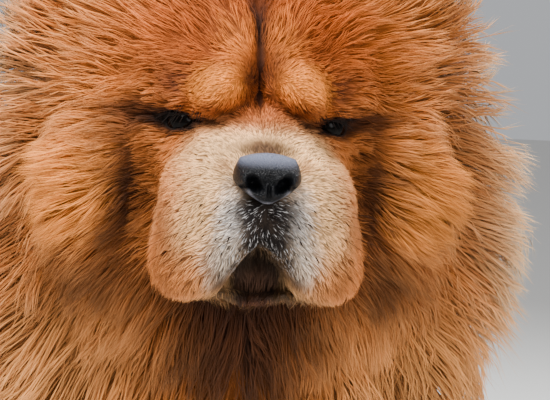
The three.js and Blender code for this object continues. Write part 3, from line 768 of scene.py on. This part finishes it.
def grow_coat(name, region, count, bends, gathering, scatter, seed):
    rng = np.random.default_rng(seed)
    corners = triangles[region]
    a, b, c = (places[corners[:, k]] for k in range(3))
    area = np.linalg.norm(np.cross(b - a, c - a), axis=1) / 2
    _, length, width, _, cover = groom(centres[region])
    wanted = area * cover / (length * width)
    picked = rng.choice(len(corners), count, p=wanted / wanted.sum())
    first, second = rng.random(count), rng.random(count)
    over = first + second > 1
    first[over], second[over] = 1 - first[over], 1 - second[over]
    shares = np.stack((1 - first - second, first, second), axis=1)
    roots = (places[corners[picked]] * shares[..., None]).sum(axis=1)
    normal = (skin_normals[corners[picked]] * shares[..., None]).sum(axis=1)
    normal /= np.linalg.norm(normal, axis=1)[:, None]
    flat = (unwrapped(region, name + "_unwrap")[picked] * shares[..., None]).sum(axis=1)

    lie, length, width, rise, _ = groom(roots)
    waves = np.stack([np.sin(roots @ wave + phase) for wave, phase in LIE_WAVES], axis=1)
    lie = lie + rng.normal(0, scatter, lie.shape) + waves * LIE_WAVE_SHARE
    lie -= normal * (lie * normal).sum(axis=1)[:, None]
    lie /= np.maximum(np.linalg.norm(lie, axis=1), 1e-6)[:, None]
    length = length * rng.uniform(*LENGTHS, count)
    width = width * rng.uniform(*WIDTHS, count)
    rise = rise + rng.normal(0, RISE_SCATTER, count)
    stray = (rng.random(count) < STRAY_SHARE) & (length > STRAY_FROM)
    length[stray] *= STRAY_LENGTH
    width[stray] *= STRAY_WIDTH
    rise[stray] += STRAY_RISE
    lie[stray] += rng.normal(0, STRAY_TURN, (stray.sum(), 3))

    def led_by(share, least, most):
        """The tuft that leads each tuft's lock or bunch, and that lock or bunch's own shade."""
        size = np.median(np.clip(length * share, least, most))
        leaders = int(np.clip(area.sum() / size**2, FEWEST_LOCKS, count / FEWEST_TUFTS_IN_LOCK))
        chosen = rng.choice(count, leaders, replace=False)
        finder = finder_of(roots[chosen])
        mine = np.array([finder.find(root)[1] for root in roots])
        return chosen[mine], rng.random(leaders)[mine]

    lead, lock_chance = led_by(*LOCK_SIZE)
    bunch, bunch_chance = led_by(*BUNCH_SIZE)

    side = np.cross(normal, lie)
    phase = lock_chance * 2 * math.pi + rng.normal(0, WAVE_SCATTER, count)

    def run(t, who):
        """The place along a tuft's curve, from its root at 0 to its tip at 1."""
        reach = length[who][:, None]
        angle = rise[who][:, None]
        out = np.sin(angle) * (RISING[0] * t + RISING[1] * t * t)
        over = np.cos(angle) * (RUNNING[0] * t + RUNNING[1] * t * t)
        drop = np.array((0.0, 0.0, SAG)) * t * t
        curl = phase[who][:, None]
        drop = drop + side[who] * (np.sin(WAVE_TURNS * t + curl) - np.sin(curl)) * WAVE_SHARE
        return roots[who] + reach * (normal[who] * out + lie[who] * over + drop)

    everyone = np.arange(count)
    gather = rng.uniform(*gathering, count)[:, None]
    bunching = rng.uniform(*BUNCHING, count)[:, None]
    gather[stray] *= STRAY_GATHERING
    bunching[stray] *= STRAY_BUNCHING

    def gathered(t):
        t = t[:, None] if np.ndim(t) else t
        own = run(t, everyone)
        own = own + (run(t, lead) - own) * gather * t**GATHERING_CURVE
        return own + (run(t, bunch) - own) * bunching * t**BUNCHING_CURVE

    turned = rng.uniform(0, 2 * math.pi, count)

    def outward(angle):
        return side * np.cos(angle)[:, None] + normal * np.sin(angle)[:, None] * BLADE_THICKNESS

    stops, swell = BLADES[bends]
    corners_of, faced = [], []
    for stop, thick in zip(stops, swell):
        middle = gathered(stop)
        for edge in range(3):
            around = outward(turned + edge * 2 * math.pi / 3)
            corners_of.append(middle + around * (width * thick * 0.5)[:, None])
            faced.append(around)
    corners_of.append(gathered(stops[-1]))
    faced.append(normal)
    for edge in range(3):
        reach = rng.uniform(*TIP_REACH, count)
        around = outward(turned + (edge + 0.5) * 2 * math.pi / 3)
        splay = length * rng.uniform(*TIP_SPLAY, count)
        corners_of.append(gathered(reach) + around * splay[:, None])
        faced.append(around)
    per = len(corners_of)
    verts = np.stack(corners_of, axis=1)
    verts[..., 2] = np.maximum(verts[..., 2], FLOOR_CLEARANCE)
    past = np.maximum(abs(verts[..., 0]) - COMBED_WIDTH, 0)
    verts[..., 0] -= np.sign(verts[..., 0]) * past * COMBING

    # the faces of one tuft: its root, its three sides, and three spikes round a hub
    last = 3 * (bends - 1)
    hub = last + 3
    faces = [(0, 2, 1)]
    for k in range(bends - 1):
        for edge in range(3):
            p, q = 3 * k + edge, 3 * k + (edge + 1) % 3
            faces += [(p, q, q + 3), (p, q + 3, p + 3)]
    for edge in range(3):
        p, q, tip = last + edge, last + (edge + 1) % 3, hub + 1 + edge
        faces += [(p, q, tip), (q, hub, tip), (hub, p, tip)]
    index = (everyone[:, None, None] * per + np.array(faces)[None]).reshape(-1, 3)

    mesh = bpy.data.meshes.new(name)
    mesh.vertices.add(count * per)
    fill(mesh.vertices, "co", verts)
    mesh.loops.add(index.size)
    mesh.loops.foreach_set("vertex_index", index.astype(np.int32).ravel())
    mesh.polygons.add(len(index))
    mesh.polygons.foreach_set("loop_start", np.arange(0, index.size, 3, dtype=np.int32))
    mesh.update(calc_edges=True)
    mesh.shade_smooth()

    # what the material and the shading read at each corner
    along = np.tile([stop for stop in stops for _ in range(3)] + [stops[-1], 1.0, 1.0, 1.0], count)
    own_chance = rng.random((count, 4))[:, [0] * (per - 3) + [1, 2, 3]]
    shade = (lock_chance * LOCK_SHADE + bunch_chance * BUNCH_SHADE)[:, None]
    chance = (own_chance * OWN_SHADE + shade).ravel()
    for name_of, values in (
        ("root_place", np.repeat(roots, per, axis=0)),
        ("strand", np.stack((along, chance, own_chance.ravel()), axis=1)),
        ("custom_normal", np.stack(faced, axis=1) * (1 - SOFTNESS) + normal[:, None] * SOFTNESS),
    ):
        fill(mesh.attributes.new(name_of, "FLOAT_VECTOR", "POINT").data, "vector", values)
    sideways = np.tile([-1, 0, 1] * bends + [0, -1, 0, 1], count)
    spread = np.stack((along * 2 - 1, sideways), axis=1)
    at_vertex = np.repeat(flat, per, axis=0) + spread * UNWRAP_PATCH / 2
    fill(mesh.uv_layers.new(name="OFBake").data, "uv", at_vertex[index.ravel()])
    mesh.materials.append(coat_material)
    piece = add_to_scene(name, mesh)
    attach(piece, "root")


# A coat with too many triangles for one piece is parted down the middle, and then at the brow.
SEED = 7
MOST_TRIANGLES = 190000
BROW_HEIGHT = 0.56  # m
left, upper = centres[:, 0] > 0, centres[:, 2] > BROW_HEIGHT
for order, (name, (nodes, count, bends, gathering, scatter)) in enumerate(COATS.items()):
    owned = np.isin(owner, nodes) & grows_hair
    triangles_of_tuft = 10 + 6 * (bends - 1)
    parts = math.ceil(count * triangles_of_tuft / MOST_TRIANGLES)
    sides = [("", True)] if parts == 1 else [("_l", left), ("_r", ~left)]
    levels = [("", True)] if parts < 3 else [("_upper", upper), ("_lower", ~upper)]
    regions = [(s + l, owned & on_side & at_level) for s, on_side in sides for l, at_level in levels]
    for part, (suffix, region) in enumerate(regions):
        seed = SEED + order * 10 + part
        grow_coat(name + suffix, region, count // len(regions), bends, gathering, scatter, seed)


# The eyes: dark brown, wet and deep set. Each is a ball of its own in its socket, and its front
# bulges a little between the lids.
FRONT_START, FRONT_DEPTH = 0.80, 0.20  # as shares of the radius
FRONT_BULGE = 0.0009  # m
eye_material, _, shader = new_material("wet_eye", 0.16, 0.07)
shader.inputs["Base Color"].default_value = from_screen(5, 3, 2)
poles_forward = Matrix.Rotation(math.radians(90), 3, "X")


def made_piece(name, shape, material):
    mesh = bpy.data.meshes.new(name)
    shape.to_mesh(mesh)
    shape.free()
    mesh.materials.append(material)
    return add_to_scene(name, mesh)


for name, (middle, radius) in eye_balls.items():
    ball = bmesh.new()
    bmesh.ops.create_uvsphere(ball, u_segments=48, v_segments=32, radius=radius)
    bmesh.ops.rotate(ball, verts=ball.verts, matrix=poles_forward)
    for vert in ball.verts:
        front = max(0.0, -vert.co.y / radius - FRONT_START) / FRONT_DEPTH
        vert.co.y -= FRONT_BULGE * front * front * (3 - 2 * front)
    bmesh.ops.translate(ball, verts=ball.verts, vec=middle)
    piece = made_piece(name + "_ball", ball, eye_material)
    piece.data.shade_smooth()
    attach(piece, "root")
    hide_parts(name)


# The nose: a pad of dark pebbled leather, with two comma-shaped nostrils, a slit beside each and
# a groove between them. It is a ball drawn into that form, set into the hair of the muzzle.
SWOLLEN = 1.04  # across and up, so that no gap shows round the leather
TOP_LEAN, WING_RISE, GROOVE_DEPTH = 0.40, 0.10, 0.16  # as shares of half the nose's depth
NOSTRIL_DEPTH, SLIT_DEPTH, NOSTRIL_RIM, LOWER_RIM = 0.60, 0.45, 0.06, 0.07
# the leather's top is painted pale grey: a painted sheen of the light from above
BLACK_LEATHER, TOP_SHEEN, PALE_RIM = (6, 7, 11), (104, 109, 128), (120, 120, 130)
SHEEN_HEIGHT = 0.006  # m above the middle, where the paler top starts
pad = bmesh.new()
bmesh.ops.create_uvsphere(pad, u_segments=96, v_segments=64, radius=1.0)
bmesh.ops.rotate(pad, verts=pad.verts, matrix=poles_forward)
rim_share = pad.verts.layers.float.new("rim")


def smooth_step(low, high, value):
    t = min(max((value - low) / (high - low), 0.0), 1.0)
    return t * t * (3 - 2 * t)


for vert in pad.verts:
    x, y, z = vert.co
    ring = math.hypot(x, z)
    if ring > 1e-6:
        # a flatter front, a rounded rectangle above, and drawn to a point below
        full = ring**0.50 / ring
        x, z = x * full, z * full
        square = max(abs(x), abs(z)) / math.hypot(x, z)
        if z > 0:
            x, z = x / square**0.40, z / square**0.35
        else:
            x *= 1 - 0.60 * abs(z) ** 1.6
    front = smooth_step(0.1, 0.8, -y)
    y += TOP_LEAN * smooth_step(0.30, 1.0, z) * front
    y -= WING_RISE * math.exp(-(((abs(x) - 0.82) / 0.22) ** 2) - ((z - 0.05) / 0.35) ** 2) * front
    groove = math.exp(-((x / 0.06) ** 2)) * smooth_step(0.35, -0.1, z)
    y += GROOVE_DEPTH * groove * front
    # the nostril, and the slit that runs out and back from it
    bend = 0.43 + 0.16 * z
    hole = ((abs(x) - bend) / 0.19) ** 2 + ((z + 0.10 - 0.35 * (abs(x) - 0.5)) / 0.27) ** 2
    slit = ((abs(x) - 0.76) / 0.24) ** 2 + ((z + 0.27 + 0.4 * (abs(x) - 0.76)) / 0.11) ** 2
    y += (NOSTRIL_DEPTH * math.exp(-(hole**1.5)) + SLIT_DEPTH * math.exp(-(slit**1.3))) * front
    rim = math.exp(-((math.sqrt(hole) - 1.55) ** 2) / 0.18)
    y -= NOSTRIL_RIM * rim * front
    edge = math.exp(-(((math.hypot(x * 1.4, z) - 0.93) / 0.07) ** 2)) * smooth_step(-0.30, -0.5, z)
    y -= LOWER_RIM * edge * front
    vert[rim_share] = edge * front
    x, y, z = x * nose_half[0] * SWOLLEN, y * nose_half[1], z * nose_half[2] * SWOLLEN
    vert.co = Vector((x, y, z)) + nose_middle
nose_material, tree, shader = new_material("nose_leather", 0.42, 0.18)
place = object_place(tree)
pebbles = tree.nodes.new("ShaderNodeTexVoronoi")
feed(pebbles.inputs["Vector"], place)
feed(pebbles.inputs["Scale"], 950.0)
raise_surface(tree, shader, pebbles.outputs["Distance"], 0.8, 0.0008).invert = True
height = tree.nodes.new("ShaderNodeSeparateXYZ")
feed(height.inputs["Vector"], place)
# painted sheen, paler towards the top of the nose
sheen_on_top = ramp_between(tree, height.outputs["Z"], nose_middle.z + SHEEN_HEIGHT, nose_high.z)
leather = mix_colour(tree, sheen_on_top, BLACK_LEATHER, TOP_SHEEN)
leather = mix_colour(tree, attribute(tree, "rim")["Fac"], leather, PALE_RIM)
feed(shader.inputs["Base Color"], leather)
nose_piece = made_piece("nose_leather", pad, nose_material)
nose_piece.data.shade_smooth()
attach(nose_piece, "root")
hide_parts("nose")


# The whiskers and lashes: single stiff hairs, thin and curved, in rows on the upper lips and over
# the eyes. Short thick ones make the rows of dark dots on the lips.
WHISKER_DARK, WHISKER_LIGHT = (9, 6, 5), (40, 28, 22)
whisker_material, tree, shader = new_material("whisker_hair", 0.6, 0.12)
shade = noise(tree, object_place(tree), 60.0)["Fac"]
two_tone = mix_colour(tree, shade, WHISKER_DARK, WHISKER_LIGHT)
feed(shader.inputs["Base Color"], two_tone)
# Each row: the first and last root, the direction at each end, length and thickness in mm, how many.
WHISKERS = [
    ((20, 10, 512), (50, 36, 516), (0.9, -0.5, -0.2), (1, 0.1, 0), 34, 0.32, 4),
    ((20, 12, 500), (54, 40, 502), (0.8, -0.5, -0.5), (1, 0.1, -0.3), 38, 0.34, 4),
    ((26, 14, 488), (54, 40, 488), (0.6, -0.5, -0.8), (0.9, 0, -0.6), 30, 0.30, 3),
    # stubs in rows across each upper lip
    ((20, 10, 518), (56, 42, 520), (0.7, -0.6, -0.4), (0.9, -0.2, -0.4), 4.5, 1.1, 6),
    ((19, 12, 510), (58, 44, 510), (0.6, -0.6, -0.5), (0.9, -0.2, -0.5), 4.5, 1.2, 7),
    ((20, 12, 501), (58, 44, 499), (0.5, -0.6, -0.6), (0.8, -0.2, -0.6), 4.8, 1.2, 7),
    ((24, 14, 492), (54, 40, 488), (0.4, -0.6, -0.7), (0.7, -0.2, -0.7), 4.8, 1.1, 6),
    # lashes over each eye
    ((34, 72, 565), (58, 86, 563), (0.2, -0.8, -0.75), (0.8, -0.4, -0.55), 8, 0.38, 16),
    ((36, 72, 567), (56, 84, 566), (0.3, -0.6, -0.85), (0.6, -0.5, -0.75), 9, 0.38, 14),
]
WHISKER_STEPS = 5
WHISKER_TURN, WHISKER_LENGTHS, WHISKER_DROOP = 0.09, (0.75, 1.1), (0.10, 0.30)
TAPER = 0.92
skin_finder = finder_of(places)
rng = np.random.default_rng(SEED)
hairs = bmesh.new()
for side in (1, -1):
    for first, last, start_way, end_way, long, thick, count in WHISKERS:
        for k in range(count):
            t = k / (count - 1)
            root = Vector(head_place(*first)).lerp(Vector(head_place(*last)), t)
            way = Vector(start_way).lerp(Vector(end_way), t) + Vector(rng.normal(0, WHISKER_TURN, 3))
            root.x, way.x = root.x * side, way.x * side
            root = Vector(places[skin_finder.find(root)[1]])
            way.normalize()
            reach = long / 1000 * rng.uniform(*WHISKER_LENGTHS)
            droop = Vector((0, 0, -1)) * reach * rng.uniform(*WHISKER_DROOP)
            turn = way.to_track_quat("Z", "Y").to_matrix().to_4x4()
            at_root = Matrix.Translation(root) @ turn
            ring = bmesh.ops.create_circle(
                hairs, segments=5, radius=thick / 2000, matrix=at_root, cap_ends=True
            )["verts"]
            rim_edges = list({edge for vert in ring for edge in vert.link_edges})
            for step in range(WHISKER_STEPS):
                grown = bmesh.ops.extrude_edge_only(hairs, edges=rim_edges)["geom"]
                ring = [part for part in grown if isinstance(part, bmesh.types.BMVert)]
                rim_edges = [part for part in grown if isinstance(part, bmesh.types.BMEdge)]
                rim_edges = [edge for edge in rim_edges if edge.is_boundary]
                done, here = step / WHISKER_STEPS, (step + 1) / WHISKER_STEPS
                shift = way * reach / WHISKER_STEPS + droop * (here**2 - done**2)
                bmesh.ops.translate(hairs, verts=ring, vec=shift)
                middle = sum((vert.co for vert in ring), Vector()) / len(ring)
                thinner = (1 - TAPER * here) / (1 - TAPER * done)
                for vert in ring:
                    vert.co = middle + (vert.co - middle) * thinner
            bmesh.ops.contextual_create(hairs, geom=ring)
bmesh.ops.recalc_face_normals(hairs, faces=hairs.faces)
whiskers = made_piece("whiskers", hairs, whisker_material)
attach(whiskers, "root")


# The claws: blunt dark horn that shows at the front of each toe. Their shape is right in the
# frame, so its own solids stay and only get the faint bands of horn.
HORN_DARK, HORN_LIGHT = (40, 34, 31), (92, 80, 70)
claw_material, tree, shader = new_material("horn_claw", 0.4, 0.5)
bands = noise(tree, object_place(tree), 400.0)["Fac"]
horn = mix_colour(tree, bands, HORN_DARK, HORN_LIGHT)
feed(shader.inputs["Base Color"], horn)
for name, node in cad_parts.items():
    if name.startswith("claw"):
        node.data.materials.clear()
        node.data.materials.append(claw_material)

# The studio: a plain pale floor, and soft light from above, in front and behind.
FLOOR_SIZE = 12.0
FLOOR_COLOUR = (214, 212, 208)
SKY_COLOUR, SKY_STRENGTH = (0.86, 0.88, 0.92, 1), 0.55
bpy.ops.mesh.primitive_plane_add(size=FLOOR_SIZE, location=(0, 0, 0))
floor = bpy.context.active_object
floor.name = "floor"
floor_material, _, shader = new_material("pale_floor", 0.85, 0.2)
shader.inputs["Base Color"].default_value = from_screen(*FLOOR_COLOUR)
floor.data.materials.append(floor_material)
world = bpy.data.worlds.new("studio")
bpy.context.scene.world = world
world.use_nodes = True
sky = world.node_tree.nodes["Background"]
sky.inputs["Color"].default_value = SKY_COLOUR
sky.inputs["Strength"].default_value = SKY_STRENGTH
# Each light: where it is, what it points at, its width in m, its power in W, and its tint.
LIGHTS = {
    "soft_top": ((-0.8, -1.0, 2.3), (0, -0.1, 0.45), 1.5, 120, (1.0, 0.98, 0.95)),
    "front_fill": ((0.9, -2.4, 1.2), (0, -0.2, 0.5), 1.4, 34, (1.0, 0.97, 0.94)),
    "back_rim": ((0.9, 1.4, 1.6), (0, 0, 0.45), 1.2, 60, (0.95, 0.98, 1.0)),
}
for name, (at, aim, wide, watts, tint) in LIGHTS.items():
    data = bpy.data.lights.new(name, "AREA")
    data.shape = "DISK"
    data.size = wide
    data.energy = watts
    data.color = tint
    light = add_to_scene(name, data)
    light.location = at
    light.rotation_euler = (Vector(aim) - Vector(at)).to_track_quat("-Z", "Y").to_euler()
